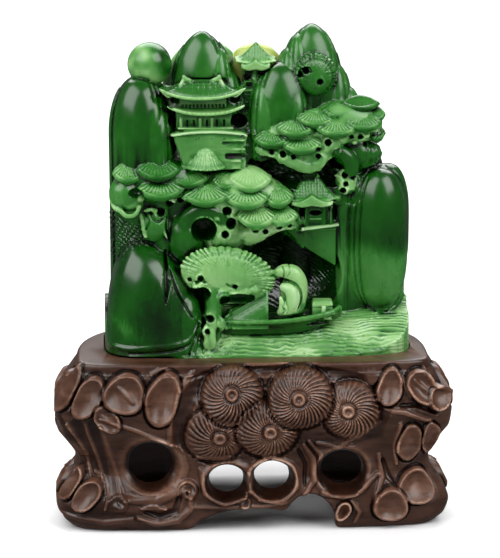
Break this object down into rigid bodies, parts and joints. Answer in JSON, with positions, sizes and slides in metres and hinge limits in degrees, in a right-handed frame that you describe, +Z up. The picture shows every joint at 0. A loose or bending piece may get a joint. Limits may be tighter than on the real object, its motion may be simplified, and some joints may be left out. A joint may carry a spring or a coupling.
{
  "type": "jade mountain carving",
  "caption": "Green jade mountain carving with pines, pavilions and a boat, resting in the socket of a hollow, pierced and carved dark hardwood stand.",
  "frame": {"origin": "middle of the whole box, on the surface the stand rests on", "axes": "+Z up, the carved front faces -Y, +X to the viewer's right"},
  "size_m": [0.1298, 0.0706, 0.16],
  "materials": {
    "green_jade": "polished spinach green jade, paler on the thin carved edges",
    "dark_hardwood": "satin waxed dark rosewood with fine pores"
  },
  "bodies": {
    "root": {"jade_mountain": "green_jade", "carved_wood_stand": "dark_hardwood"}
  },
  "joints": []
}
